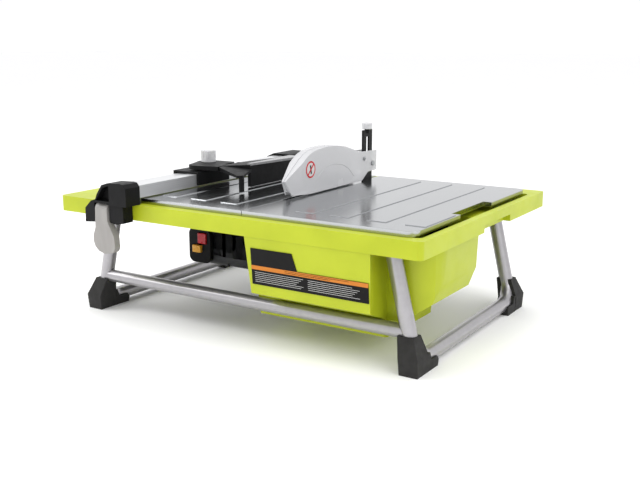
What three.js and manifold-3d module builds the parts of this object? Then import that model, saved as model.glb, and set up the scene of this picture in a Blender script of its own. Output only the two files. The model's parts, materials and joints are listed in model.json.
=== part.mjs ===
// Wet tile saw: a tabletop saw with a water tub, a steel table in two plates,
// a rip fence with a swivelling angle guide, and a bent-tube frame on rubber feet.
// Millimetres, +Z up. +X runs right along the front, +Y to the back.
// The origin is on the floor, in the middle of the saw.
import * as THREE from 'three';
import { ConvexGeometry } from 'three/addons/geometries/ConvexGeometry.js';
import { mergeVertices } from 'three/addons/utils/BufferGeometryUtils.js';
import Module from 'manifold-3d';

const wasm = await Module();
wasm.setup();

// ---------------------------------------------------------------- driving sizes
const GAP = 0.3; // clearance between pieces that touch
const TOO_FAR = 5; // how far a cutter runs past the face that it cuts

const tray = {
  length: 660, depth: 468, rimTop: 198, rimHeight: 25, corner: 8,
  sideWall: 12, frontWall: 20, rearLedge: 44, leftDeck: 150,
  floorTop: 190, floorThickness: 3.5, wall: 3.5,
};
const tub = {
  left: 46, right: 314, back: -8, shoulderHeight: 116, kneeHeight: 88, bottomHeight: 62,
  draft: 8, frontTuck: 66, rightTuck: 40, backTuck: 16, cornerRadius: 50,
};
const sump = { left: 24, right: 244, frontGap: 17, back: -20, bottom: 36, draft: 4 };
const well = { left: 8, right: 118, front: -100, back: 125 };
const table = {
  top: 206, sheet: 1.5, frontGap: 16, backGap: 44, left: -178, right: 312, corner: 16,
  joint: 1, slotWidth: 7, slotFront: -113,
  notchFront: -75, notchBack: 42, notchDepth: 14,
  stripWidth: 30, stripPitch: 59, stripRaise: 1, stripFront: -182, stripBack: 165,
};
const blade = { diameter: 178, thickness: 2.2, x: 32, y: 22, flange: 44, bore: 10 };
const frameTube = {
  leg: 22.5, cross: 20.5, legInset: 54, footX: 297.5, lowZ: 15, lean: 0.243, bend: 36, crossZ: 57,
};
const foot = { outerX: 312, innerX: 283.5, overrun: 21, tail: 46, height: 53, bulge: 2.5,
  tailHeight: 15 };
const collar = { size: 30, height: 16 };
const motor = {
  left: -208, front: -50, back: 95, bottom: 62, wall: 3, corner: 14,
  radius: 34, headroom: 5.5, rotorRadius: 21, airGap: 1, shaftRadius: 6, stackStart: -140, stackEnd: -75,
};
const fence = { left: -207, width: 47, height: 20, wall: 2.5, hoodReach: 31, hookReach: 67,
  capTop: 234, overhang: 28 };
const gauge = {
  pivotX: -184, pivotY: -28, hubRadius: 20, plateTop: 241, plate: 7, saddle: 3.5,
  wallX: -84, wallThickness: 6, wallFront: -48, wallBack: 75, wallTop: 248, apronX: -57, apronY: -100,
};
const guard = {
  width: 24, wall: 2.2, noseY: -111, noseWidth: 6, cheekY: -76, armEnd: 163, bottom: 208, pivotY: 148,
    pivotZ: 235, boltRadius: 3,
};
const post = { thickness: 3, front: 133, back: 165, top: 293, slotWidth: 9, web: 12 };
const gaugeKnob = { radius: 13, height: 19 };
const postKnob = { radius: 9, height: 11 };
const drain = { x: 110, y: -100, radius: 9, flange: 13 };

// ---------------------------------------------------------------- sizes that follow
const halfLength = tray.length / 2;
const halfDepth = tray.depth / 2;
const rimBottom = tray.rimTop - tray.rimHeight;
const floorBottom = tray.floorTop - tray.floorThickness;
const arbor = { y: blade.y, z: floorBottom - motor.headroom - motor.radius };
const legY = halfDepth - frameTube.legInset;
const tableFront = -halfDepth + table.frontGap;
const tableBack = halfDepth - table.backGap;
const sumpFront = -legY + sump.frontGap;
const slotLeft = blade.x - table.slotWidth / 2;
const slotRight = blade.x + table.slotWidth / 2;
const fenceRight = fence.left + fence.width;
const fenceBottom = table.top + table.stripRaise + 2 * GAP;
const fenceTop = fenceBottom + fence.height;
const reach = halfDepth + fence.overhang;
const hoodInner = reach - fence.hoodReach;
const hookInner = reach - fence.hookReach;
const saddleTop = fenceTop + GAP + gauge.saddle;
const legX = (z) => frameTube.footX - (z - frameTube.lowZ) * frameTube.lean;
const legTop = floorBottom - GAP;
const collarX = legX(legTop - collar.height / 2);

// ---------------------------------------------------------------- solid helpers
function toSolid(geometry) {
  const bare = geometry.clone();
  bare.deleteAttribute('normal');
  bare.deleteAttribute('uv');
  const merged = mergeVertices(bare, 1e-4);
  return new wasm.Manifold(new wasm.Mesh({
    numProp: 3,
    vertProperties: new Float32Array(merged.attributes.position.array),
    triVerts: new Uint32Array(merged.index.array),
  }));
}

function toGeometry(solid) {
  const mesh = solid.getMesh();
  const geometry = new THREE.BufferGeometry();
  geometry.setAttribute('position', new THREE.BufferAttribute(mesh.vertProperties, 3));
  geometry.setIndex(new THREE.BufferAttribute(mesh.triVerts, 1));
  geometry.computeVertexNormals();
  return geometry;
}

const join = (...solids) => solids.reduce((whole, next) => whole.add(next));
const cut = (solid, ...cutters) => cutters.reduce((left, next) => left.subtract(next), solid);

function box(x0, x1, y0, y1, z0, z1) {
  const geometry = new THREE.BoxGeometry(x1 - x0, y1 - y0, z1 - z0);
  geometry.translate((x0 + x1) / 2, (y0 + y1) / 2, (z0 + z1) / 2);
  return toSolid(geometry);
}

// The convex solid that wraps rectangles [x0, x1, y0, y1, z], one above the other.
function taper(...levels) {
  const points = levels.flatMap(([x0, x1, y0, y1, z]) => [
    new THREE.Vector3(x0, y0, z), new THREE.Vector3(x1, y0, z),
    new THREE.Vector3(x0, y1, z), new THREE.Vector3(x1, y1, z),
  ]);
  return toSolid(new ConvexGeometry(points));
}

const hull = (points) => toSolid(new ConvexGeometry(points.map((p) => new THREE.Vector3(...p))));

function shapeOf(outline) {
  return outline instanceof THREE.Shape ? outline : new THREE.Shape(outline.map((p) => new THREE.Vector2(...p)));
}

function extrude(outline, depth, curveSegments = 6) {
  return new THREE.ExtrudeGeometry(shapeOf(outline), { depth, bevelEnabled: false, curveSegments });
}

// An (x, y) outline raised from z0 to z1.
function upright(outline, z0, z1, curveSegments) {
  const geometry = extrude(outline, z1 - z0, curveSegments);
  geometry.translate(0, 0, z0);
  return toSolid(geometry);
}

// A (y, z) outline run along X from x0 to x1.
function alongX(outline, x0, x1, curveSegments) {
  const geometry = extrude(outline, x1 - x0, curveSegments);
  geometry.applyMatrix4(new THREE.Matrix4().makeBasis(
    new THREE.Vector3(0, 1, 0), new THREE.Vector3(0, 0, 1), new THREE.Vector3(1, 0, 0)));
  geometry.translate(x0, 0, 0);
  return toSolid(geometry);
}

// An (x, z) outline run along Y from y0 to y1.
function alongY(outline, y0, y1, curveSegments) {
  const geometry = extrude(outline, y1 - y0, curveSegments);
  geometry.rotateX(Math.PI / 2);
  geometry.translate(0, y1, 0);
  return toSolid(geometry);
}

function rod(radius, from, to, sides = 16) {
  const start = new THREE.Vector3(...from);
  const axis = new THREE.Vector3(...to).sub(start);
  const geometry = new THREE.CylinderGeometry(radius, radius, axis.length(), sides);
  geometry.translate(0, axis.length() / 2, 0);
  geometry.applyQuaternion(new THREE.Quaternion().setFromUnitVectors(
    new THREE.Vector3(0, 1, 0), axis.clone().normalize()));
  geometry.translate(start.x, start.y, start.z);
  return toSolid(geometry);
}

// A ring or disc about the arbor's axis. An inner radius of 0 makes a plain disc.
function arborRing(inner, outer, x0, x1, sides = 24) {
  const profile = [[inner, x0], [outer, x0], [outer, x1], [inner, x1], [inner, x0]];
  const geometry = new THREE.LatheGeometry(profile.map((p) => new THREE.Vector2(...p)), sides);
  geometry.rotateZ(-Math.PI / 2);
  geometry.translate(0, arbor.y, arbor.z);
  return toSolid(geometry);
}

function roundedRect(x0, x1, y0, y1, radius) {
  const shape = new THREE.Shape();
  shape.moveTo(x0 + radius, y0);
  shape.lineTo(x1 - radius, y0);
  shape.absarc(x1 - radius, y0 + radius, radius, -Math.PI / 2, 0);
  shape.lineTo(x1, y1 - radius);
  shape.absarc(x1 - radius, y1 - radius, radius, 0, Math.PI / 2);
  shape.lineTo(x0 + radius, y1);
  shape.absarc(x0 + radius, y1 - radius, radius, Math.PI / 2, Math.PI);
  shape.lineTo(x0, y0 + radius);
  shape.absarc(x0 + radius, y0 + radius, radius, Math.PI, 1.5 * Math.PI);
  return shape;
}

// A polyline whose inner corners are bent to a radius. Its points are spaced as listed,
// so the straight runs take one step each and the bends take several.
class BentPath extends THREE.Curve {
  constructor(corners, radius, bendSteps) {
    super();
    this.points = [corners[0]];
    for (let i = 1; i < corners.length - 1; i += 1) {
      const before = corners[i - 1].clone().sub(corners[i]).normalize();
      const after = corners[i + 1].clone().sub(corners[i]).normalize();
      const halfAngle = before.angleTo(after) / 2;
      const tangentLength = radius / Math.tan(halfAngle);
      const middle = before.clone().add(after).normalize();
      const centre = corners[i].clone().addScaledVector(middle, radius / Math.sin(halfAngle));
      const start = corners[i].clone().addScaledVector(before, tangentLength).sub(centre);
      const end = corners[i].clone().addScaledVector(after, tangentLength).sub(centre);
      const turn = start.angleTo(end);
      const axis = start.clone().cross(end).normalize();
      for (let step = 0; step <= bendSteps; step += 1) {
        this.points.push(start.clone().applyAxisAngle(axis, (turn * step) / bendSteps).add(centre));
      }
    }
    this.points.push(corners[corners.length - 1]);
  }

  get steps() {
    return this.points.length - 1;
  }

  getPoint(t) {
    const place = Math.min(Math.max(t, 0), 1) * this.steps;
    const index = Math.min(Math.floor(place), this.steps - 1);
    return this.points[index].clone().lerp(this.points[index + 1], place - index);
  }

  getPointAt(u) {
    return this.getPoint(u);
  }

  getTangentAt(u) {
    return this.getTangent(u);
  }
}

function bentTube(corners, bendRadius, radius, bendSteps = 6) {
  const path = new BentPath(corners.map((p) => new THREE.Vector3(...p)), bendRadius, bendSteps);
  const section = new THREE.Shape();
  section.absarc(0, 0, radius, 0, 2 * Math.PI);
  const options = { extrudePath: path, steps: path.steps, curveSegments: 8, bevelEnabled: false };
  return toSolid(new THREE.ExtrudeGeometry(section, options));
}

// ---------------------------------------------------------------- materials
const finish = (color, roughness, metalness = 0) => () => (
  new THREE.MeshStandardMaterial({ color, roughness, metalness }));
const limePlastic = finish('#c6d233', 0.42);
const stainless = finish('#b9babb', 0.25, 1);
const silverPaint = finish('#a9a5a8', 0.4, 0.6);
const blackRubber = finish('#3a3836', 0.8);
const blackPlastic = finish('#2a2829', 0.5);
const greyPlastic = finish('#b5b1ae', 0.5);
const motorPlastic = finish('#45464a', 0.55);
const aluminium = finish('#c3c4c6', 0.35, 1);
const steel = finish('#8c8e90', 0.35, 1);
const copper = finish('#9a5a34', 0.45, 1);
const redPlastic = finish('#c8202b', 0.4);
const yellowPlastic = finish('#f0b040', 0.4);
const milkyPlastic = finish('#dcdcdc', 0.3);

const saw = new THREE.Group();

function addPart(name, solid, material) {
  const mesh = new THREE.Mesh(toGeometry(solid), material());
  mesh.name = name;
  saw.add(mesh);
}

// ---------------------------------------------------------------- tray and tub
// One moulding: a rimmed tray with a flat deck on the left, a deep water tub at the
// front right, a deeper sump below it and a well that the blade dips into.
const deckEdge = -halfLength + tray.leftDeck;

function tubShell(inset) {
  const front = -halfDepth;
  const shoulder = [tub.left + tub.draft * 0.7, tub.right - 2, front + tub.draft * 0.7, tub.back - 2];
  const knee = [tub.left + tub.draft, tub.right - tub.draft - 3, front + tub.draft,
    tub.back - tub.backTuck / 2];
  const low = [tub.left + 2 * tub.draft, tub.right - tub.draft - tub.rightTuck,
    front + tub.draft + tub.frontTuck, tub.back - 2 * tub.backTuck];
  const shrink = ([x0, x1, y0, y1], z) => [x0 + inset, x1 - inset, y0 + inset, y1 - inset, z];
  return taper(
    shrink([tub.left, tub.right, front, tub.back], floorBottom + (inset ? TOO_FAR : 1)),
    shrink(shoulder, tub.shoulderHeight),
    shrink(knee, tub.kneeHeight + inset / 2),
    shrink(low, tub.bottomHeight + inset));
}

function sumpShell(inset) {
  const roof = tub.kneeHeight;
  return taper(
    [sump.left - sump.draft + inset, sump.right + sump.draft - inset,
      sumpFront - sump.draft + inset, sump.back + sump.draft - inset, roof],
    [sump.left + inset, sump.right - inset, sumpFront + inset, sump.back - inset, sump.bottom + inset]);
}

const wellShell = (inset) => box(
  well.left + inset, well.right - inset, well.front + inset, well.back - inset,
  sump.bottom + inset, floorBottom + (inset ? TOO_FAR : 1));

// The front right leg rises through a pocket in the tub's corner.
function legPocket(grow) {
  const side = collarX - collar.size / 2 - 1 - grow;
  const back = -legY + collar.size / 2 + 4 + grow;
  const mouth = side + 15;
  const front = -halfDepth - TOO_FAR;
  const beyond = tub.right + TOO_FAR;
  const bend = tub.right - grow - tub.cornerRadius;
  const arc = Array.from({ length: 9 }, (_, i) => {
    const angle = -Math.PI / 2 + (Math.PI / 16) * i;
    return [bend + Math.cos(angle) * tub.cornerRadius,
      back + tub.cornerRadius + Math.sin(angle) * tub.cornerRadius];
  });
  const outline = [[mouth, front], [side, -legY - collar.size / 2 - 4], [side, back],
    ...arc, [beyond, back + tub.cornerRadius], [beyond, front]];
  return upright(outline, sump.bottom - TOO_FAR, floorBottom - (grow ? 0 : 0.01));
}

function trayTub() {
  const rim = upright(
    roundedRect(-halfLength, halfLength, -halfDepth, halfDepth, tray.corner), rimBottom, tray.rimTop, 3);
  const underside = box(-halfLength + tray.sideWall, halfLength - tray.sideWall,
    -halfDepth + tray.frontWall, halfDepth - tray.frontWall, rimBottom - 1, floorBottom);
  const underDeck = box(-halfLength + tray.sideWall, deckEdge - tray.wall,
    -legY + 30, legY - 30, rimBottom - 1, tray.rimTop - tray.floorThickness);
  const basin = upright(roundedRect(deckEdge, halfLength - tray.sideWall,
    -halfDepth + tray.frontWall, halfDepth - tray.rearLedge, tray.corner), tray.floorTop,
      tray.rimTop + 1, 3);
  const hollow = cut(join(tubShell(tray.wall), sumpShell(tray.wall)), legPocket(tray.wall));
  const water = join(hollow, wellShell(tray.wall));
  const sideStep = box(halfLength - tray.sideWall + 1, halfLength + 1, -28, 75, rimBottom - 1,
    rimBottom + 11);
  const shaftHole = rod(12, [well.left - 1, arbor.y, arbor.z], [well.left + tray.wall + 1, arbor.y,
    arbor.z], 24);
  const drainHole = rod(drain.radius, [drain.x, drain.y, sump.bottom - 1],
    [drain.x, drain.y, sump.bottom + tray.wall + 1]);
  const body = cut(rim, underside, underDeck, basin);
  const lower = cut(join(tubShell(0), sumpShell(0)), legPocket(0));
  return cut(join(body, lower, wellShell(0)), water, sideStep, shaftHole, drainHole);
}

addPart('tray_tub', trayTub(), limePlastic);
addPart('drain_plug', join(
  rod(drain.radius - GAP, [drain.x, drain.y, sump.bottom - 1], [drain.x, drain.y, sump.bottom + tray.wall]),
  rod(drain.flange, [drain.x, drain.y, sump.bottom - 5], [drain.x, drain.y, sump.bottom - GAP])),
    blackRubber);

const plaque = { left: 58, right: 251, tabRight: 137, bottom: 103, shoulder: 132, top: 157,
  thickness: 0.8 };
const tubFrontY = (z) => -halfDepth + (tub.draft * (floorBottom + 1 - z)) / (floorBottom + 1 - tub.kneeHeight);
const plaqueSlab = (right, z0, z1, slope) => hull([[z0, right], [z1, right - slope]].flatMap(([z, x]) => [
  [plaque.left, tubFrontY(z) - GAP, z], [x, tubFrontY(z) - GAP, z],
  [plaque.left, tubFrontY(z) - GAP - plaque.thickness, z], [x, tubFrontY(z) - GAP - plaque.thickness, z],
]));
addPart('label_plate', join(plaqueSlab(plaque.right, plaque.bottom, plaque.shoulder, 0),
  plaqueSlab(plaque.tabRight, plaque.shoulder - 1, plaque.top, 8)), blackPlastic);

// ---------------------------------------------------------------- table plates
// Each plate is a pressed sheet with a skirt that stands on the rim, and raised strips.
function platePan(outline) {
  const skirtBottom = tray.rimTop + GAP;
  return cut(upright(outline(0), skirtBottom, table.top, 4),
    upright(outline(table.sheet), skirtBottom - 1, table.top - table.sheet, 4));
}

function strip(right, back = table.stripBack) {
  return box(right - table.stripWidth, right, table.stripFront, back, table.top - 1,
    table.top + table.stripRaise);
}

function rightOutline(inset) {
  const left = blade.x + table.joint / 2 + inset;
  const right = table.right - inset;
  const front = tableFront + inset;
  const back = tableBack - inset;
  const notch = table.right - table.notchDepth - inset;
  const radius = table.corner - inset;
  const shape = new THREE.Shape();
  shape.moveTo(left, front);
  shape.lineTo(right - radius, front);
  shape.absarc(right - radius, front + radius, radius, -Math.PI / 2, 0);
  shape.lineTo(right, table.notchFront - inset);
  shape.lineTo(notch, table.notchFront - inset);
  shape.lineTo(notch, table.notchBack + inset);
  shape.lineTo(right, table.notchBack + inset);
  shape.lineTo(right, back - radius);
  shape.absarc(right - radius, back - radius, radius, 0, Math.PI / 2);
  shape.lineTo(slotRight + inset, back);
  shape.lineTo(slotRight + inset, table.slotFront - inset);
  shape.lineTo(left, table.slotFront - inset);
  return shape;
}

function leftOutline(inset) {
  const right = blade.x - table.joint / 2 - inset;
  const front = tableFront + inset;
  const back = tableBack - inset;
  const left = table.left + inset;
  const radius = table.corner - inset;
  const shape = new THREE.Shape();
  shape.moveTo(left + radius, front);
  shape.lineTo(right, front);
  shape.lineTo(right, table.slotFront - inset);
  shape.lineTo(slotLeft - inset, table.slotFront - inset);
  shape.lineTo(slotLeft - inset, back);
  shape.lineTo(left, back);
  shape.lineTo(left, front + radius);
  shape.absarc(left + radius, front + radius, radius, Math.PI, 1.5 * Math.PI);
  return shape;
}

const lastStripRight = table.right - 3;
const rightStrips = [1, 2, 3].map((i) => strip(lastStripRight - i * table.stripPitch));
const leftStrips = [0, 1, 2].map((i) => strip(blade.x - 37 - i * table.stripPitch));
addPart('right_table', join(platePan(rightOutline), strip(lastStripRight, table.notchFront - 10),
  ...rightStrips),
  stainless);
addPart('left_table', join(platePan(leftOutline), ...leftStrips), stainless);

// ---------------------------------------------------------------- tube frame
const tubeEnd = legTop - (frameTube.leg / 2) * frameTube.lean - GAP;

function sideLoop(side, radius) {
  const top = side * legX(tubeEnd);
  const low = side * frameTube.footX;
  return bentTube([
    [top, -legY, tubeEnd], [low, -legY, frameTube.lowZ],
    [low, legY, frameTube.lowZ], [top, legY, tubeEnd],
  ], frameTube.bend, radius);
}

const legRadius = frameTube.leg / 2;
const crossRadius = frameTube.cross / 2;
const legReach = legX(frameTube.crossZ);

function crossTube() {
  const y = -legY;
  const bar = rod(crossRadius, [-legReach, y, frameTube.crossZ], [legReach, y, frameTube.crossZ], 20);
  return cut(bar, sideLoop(-1, legRadius + GAP), sideLoop(1, legRadius + GAP));
}

addPart('frame_side_left', sideLoop(-1, legRadius), silverPaint);
addPart('frame_side_right', sideLoop(1, legRadius), silverPaint);
addPart('cross_tube_front', crossTube(), silverPaint);

// Rubber boot round each lower bend: a tower on the corner and a tail along the low tube.
function boot(sx, sy) {
  const at = (x, y, z) => [sx * x, sy * y, z];
  const slab = (x0, x1, y0, y1, z) => [at(x0, y0, z), at(x1, y0, z), at(x0, y1, z), at(x1, y1, z)];
  const { outerX, innerX, height, bulge, tailHeight } = foot;
  const outerY = legY + foot.overrun;
  const tailY = legY - foot.tail;
  const towerY = legY - 12;
  const legOut = frameTube.leg / 2 + 1.5;
  const legAt = legX(height);
  const tower = hull([
    ...slab(innerX, outerX, towerY, outerY, 0),
    ...slab(innerX - 1, outerX + 1, towerY, outerY + bulge, height * 0.46),
    ...slab(legAt - legOut, legAt + legOut, towerY + 3, legY + legOut, height),
  ]);
  const tail = hull([
    ...slab(innerX, outerX, tailY + 2, towerY + 5, 0),
    ...slab(innerX, outerX, tailY, towerY + 5, tailHeight * 0.6),
    ...slab(innerX, outerX, tailY + 4, towerY + 5, tailHeight),
  ]);
  const instep = hull([
    ...slab(innerX, outerX, tailY + 18, towerY + 5, 0),
    ...slab(innerX, outerX, towerY - 6, towerY + 5, tailHeight + 12),
  ]);
  const whole = cut(join(tower, tail, instep), sideLoop(sx, legRadius + GAP));
  const crossTubeEnd = [at(0, legY, frameTube.crossZ), at(legReach, legY,
    frameTube.crossZ)];
  return sy < 0 ? cut(whole, rod(crossRadius + GAP, ...crossTubeEnd)) : whole;
}

function legCollar(sx, sy) {
  const x = sx * collarX;
  const y = sy * legY;
  const half = collar.size / 2;
  return cut(box(x - half, x + half, y - half, y + half, legTop - collar.height, legTop),
    sideLoop(sx, legRadius + GAP));
}

for (const [sy, end] of [[-1, 'front'], [1, 'back']]) {
  for (const [sx, hand] of [[-1, 'left'], [1, 'right']]) {
    addPart(`foot_${end}_${hand}`, boot(sx, sy), blackRubber);
    addPart(`leg_socket_${end}_${hand}`, legCollar(sx, sy), blackPlastic);
  }
}

// ---------------------------------------------------------------- motor and arbor
const housingRight = well.left - GAP;
const housingTop = floorBottom - GAP;
const ribs = { first: -140, pitch: 22, count: 5, width: 7, depth: 1.8 };

const switchBox = { x0: -186, x1: -168, z0: 101, z1: 120 };
const keyBox = { x0: -197, x1: -179, z0: 85, z1: 98 };

// The openings that the switch and its key sit in.
function switchMouth(y0, y1) {
  return join(...[switchBox, keyBox].map(({ x0, x1, z0, z1 }) => (
    box(x0 - GAP, x1 + GAP, y0, y1, z0 - GAP, z1 + GAP))));
}

function motorHousing() {
  const outer = alongX(roundedRect(motor.front, motor.back, motor.bottom, housingTop + motor.corner,
    motor.corner), motor.left, housingRight, 4);
  const inner = alongX(roundedRect(motor.front + motor.wall, motor.back - motor.wall,
    motor.bottom + motor.wall, housingTop + 3 * motor.corner, motor.corner - motor.wall),
  motor.left + motor.wall, housingRight - motor.wall, 4);
  const roof = box(motor.left - 1, well.left, motor.front - 1, motor.back + 1, housingTop, housingTop + 40);
  const grooves = Array.from({ length: ribs.count }, (_, i) => {
    const x = ribs.first + i * ribs.pitch;
    return box(x, x + ribs.width, motor.front - 1, motor.front + ribs.depth, motor.bottom + 18,
      housingTop - 6);
  });
  const vents = Array.from({ length: 5 }, (_, i) => {
    const y = -20 + i * 20;
    return box(motor.left - 1, motor.left + motor.wall + 1, y, y + 5, motor.bottom + 25, motor.bottom + 75);
  });
  const shaftHole = rod(motor.shaftRadius + 2, [housingRight - 5, arbor.y, arbor.z],
    [housingRight + 1, arbor.y, arbor.z]);
  const glandHole = rod(6, [-180, motor.back - 5, 90], [-180, motor.back + 1, 90]);
  const switchHole = switchMouth(motor.front - 1, motor.front + motor.wall + 1);
  const bulkheads = [motor.stackStart + 8, motor.stackEnd - 11].map((x) => cut(
    box(x, x + motor.wall, motor.front + 1, motor.back - 1, motor.bottom + 1, housingTop + 1),
    rod(motor.radius + GAP, [x - 1, arbor.y, arbor.z], [x + motor.wall + 1, arbor.y, arbor.z], 32)));
  return cut(join(cut(outer, inner), ...bulkheads), roof, ...grooves, ...vents, shaftHole, glandHole,
    switchHole);
}

addPart('motor_housing', motorHousing(), motorPlastic);

// Switch surround, proud of the housing, with a rounded outer side.
const surround = { left: -208, right: -160, bottom: 66, top: 128, proud: 9 };
function switchSurround() {
  const face = alongY(roundedRect(surround.left, surround.right, surround.bottom, surround.top, 12),
    motor.front - surround.proud, motor.front - GAP, 4);
  return cut(face, switchMouth(motor.front - surround.proud - 1, motor.front + 1));
}
addPart('switch_surround', switchSurround(), motorPlastic);
const switchFront = motor.front - surround.proud - 3;
addPart('switch_button', box(switchBox.x0, switchBox.x1, switchFront, motor.front + 6,
  switchBox.z0, switchBox.z1), redPlastic);
addPart('safety_key', box(keyBox.x0, keyBox.x1, switchFront - 2, motor.front + 6, keyBox.z0, keyBox.z1),
  yellowPlastic);
addPart('power_gland', join(
  rod(6 - GAP, [-180, motor.back - 3, 90], [-180, motor.back + 1, 90]),
  rod(9, [-180, motor.back + GAP, 90], [-180, motor.back + 12, 90])), blackRubber);

const bearingSeat = 11;
const bellThickness = 12;
const onShaft = motor.shaftRadius + GAP;
addPart('stator', arborRing(motor.rotorRadius + motor.airGap, motor.radius, motor.stackStart,
  motor.stackEnd, 32),
  steel);
addPart('rotor', arborRing(onShaft, motor.rotorRadius, motor.stackStart + 2, motor.stackEnd - 2, 32),
  copper);
addPart('motor_bell_rear', arborRing(bearingSeat + GAP, motor.radius,
  motor.stackStart - GAP - bellThickness, motor.stackStart - GAP, 32), aluminium);
addPart('motor_bell_front', arborRing(bearingSeat + GAP, motor.radius,
  motor.stackEnd + GAP, motor.stackEnd + GAP + bellThickness, 32), aluminium);
addPart('bearing_rear', arborRing(onShaft, bearingSeat, motor.stackStart - 10, motor.stackStart - 3),
  steel);
addPart('bearing_front', arborRing(onShaft, bearingSeat, motor.stackEnd + 3, motor.stackEnd + 10), steel);

function coolingFan() {
  const start = motor.stackEnd + 20;
  const disc = arborRing(onShaft, 32, start, start + 2);
  const hub = arborRing(onShaft, 11, start, start + 14);
  const vanes = Array.from({ length: 9 }, (_, i) => {
    const vane = new THREE.BoxGeometry(13, 1.8, 20);
    vane.translate(start + 7.5, 0, 20);
    vane.rotateX((2 * Math.PI * i) / 9);
    vane.translate(0, arbor.y, arbor.z);
    return toSolid(vane);
  });
  return join(disc, hub, ...vanes);
}
addPart('cooling_fan', coolingFan(), blackPlastic);

const bladeLeft = blade.x - blade.thickness / 2;
const bladeRight = blade.x + blade.thickness / 2;
const flangeThickness = 6;
const boreRadius = blade.bore / 2;
const onBore = boreRadius + GAP;
const shoulder = bladeLeft - GAP - flangeThickness - GAP;
addPart('shaft_seal', arborRing(onShaft, 12 - GAP, well.left + GAP, well.left + tray.wall - GAP),
  blackRubber);
addPart('arbor_shaft', join(
  rod(motor.shaftRadius, [motor.stackStart - 16, arbor.y, arbor.z], [shoulder, arbor.y, arbor.z], 20),
  rod(boreRadius, [shoulder - 1, arbor.y, arbor.z], [bladeRight + 18, arbor.y, arbor.z], 20)), steel);
addPart('flange_inner', arborRing(onBore, blade.flange / 2, shoulder + GAP, bladeLeft - GAP), steel);
addPart('diamond_blade', arborRing(onBore, blade.diameter / 2, bladeLeft, bladeRight, 72), steel);
addPart('flange_outer', arborRing(onBore, blade.flange / 2, bladeRight + GAP,
  bladeRight + GAP + flangeThickness),
  steel);
const nutStart = bladeRight + 2 * GAP + flangeThickness;
addPart('arbor_nut', cut(
  rod(10.5, [nutStart, arbor.y, arbor.z], [nutStart + 8, arbor.y, arbor.z], 6),
  rod(onBore, [nutStart - 1, arbor.y, arbor.z], [nutStart + 9, arbor.y, arbor.z], 20)), steel);

// ---------------------------------------------------------------- guard and its post
function guardPost() {
  const x0 = blade.x - post.thickness / 2;
  const x1 = blade.x + post.thickness / 2;
  const foot = box(blade.x - 9, blade.x + 9, post.front - 4, post.back + 4, tray.floorTop + GAP,
    tray.floorTop + 4);
  const upright_ = box(x0, x1, post.front, post.back, tray.floorTop + GAP, post.top);
  const middle = (post.front + post.back) / 2;
  const slot = box(x0 - 1, x1 + 1, middle - post.slotWidth / 2, middle + post.slotWidth / 2,
    guard.pivotZ - 10, post.top - post.web);
  const boss = rod(4.5, [blade.x, middle, post.top - 6], [blade.x, middle, post.top + 1]);
  return join(cut(upright_, slot), foot, boss);
}
addPart('guard_post', guardPost(), blackPlastic);

const postMiddle = (post.front + post.back) / 2;
addPart('post_knob', rod(postKnob.radius, [blade.x, postMiddle, post.top + 1 + GAP],
  [blade.x, postMiddle, post.top + 1 + postKnob.height], 20), milkyPlastic);

// Side view of the guard: a faceted nose, a long low arch and a straight arm at the rear.
function guardOutline(inset) {
  const { bottom } = guard;
  const arch = new THREE.SplineCurve([
    [-78 + inset, 258 - inset], [-52, 272.5 - inset], [-18, 278 - inset], [16, 278 - inset],
    [50, 274.5 - inset], [78, 267 - inset], [103, 259 - inset],
  ].map((p) => new THREE.Vector2(...p)));
  const low = inset ? bottom - TOO_FAR : bottom;
  const start = [[-54, low], [guard.noseY + 14 + inset, inset ? low : bottom + 3],
    [guard.noseY + 1.6 * inset, 234]];
  const end = [[guard.armEnd, 257 - inset], [guard.armEnd, 222 - (inset ? TOO_FAR : 0)], [132,
    inset ? low : 221],
    [112, low]];
  return [...start, ...arch.getPoints(14).map((p) => [p.x, p.y]), ...end];
}

function guardShell(side) {
  const inner = blade.x + side * GAP;
  const outer = blade.x + side * (guard.width / 2);
  const skin = outer - side * guard.wall;
  const [x0, x1] = [Math.min(inner, outer), Math.max(inner, outer)];
  // Seen from above, each half narrows to the nose.
  const plan = (wall) => {
    const near = wall ? inner - side : inner;
    return upright([[near, guard.armEnd + 1], [near, guard.noseY - 1],
      [blade.x + side * (guard.noseWidth / 2 - wall), guard.noseY - 1],
      [outer - side * wall, guard.cheekY], [outer - side * wall, guard.armEnd + 1]], guard.bottom - 9, 290);
  };
  const [m0, m1] = [Math.min(inner - side, skin), Math.max(inner - side, skin)];
  const hollow = alongX(guardOutline(guard.wall), m0, m1).intersect(plan(guard.wall));
  const postRoom = box(m0, m1, post.front - 16, guard.armEnd + 1, guard.bottom - TOO_FAR, 290);
  const boltHole = rod(guard.boltRadius + GAP, [x0 - 1, guard.pivotY, guard.pivotZ], [x1 + 1,
    guard.pivotY, guard.pivotZ]);
  return cut(alongX(guardOutline(0), x0, x1).intersect(plan(0)), hollow, postRoom, boltHole);
}
addPart('guard_left', guardShell(-1), milkyPlastic);
addPart('guard_right', guardShell(1), milkyPlastic);

const guardSide = guard.width / 2;
addPart('guard_bolt', join(
  rod(guard.boltRadius, [blade.x - guardSide - 5, guard.pivotY, guard.pivotZ],
    [blade.x + guardSide + 1, guard.pivotY, guard.pivotZ]),
  rod(4.5, [blade.x + guardSide + GAP, guard.pivotY, guard.pivotZ], [blade.x + guardSide + 2.5,
    guard.pivotY, guard.pivotZ]),
  rod(6.5, [blade.x - guardSide - 6, guard.pivotY, guard.pivotZ],
    [blade.x - guardSide - GAP, guard.pivotY, guard.pivotZ], 6)), steel);

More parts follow.
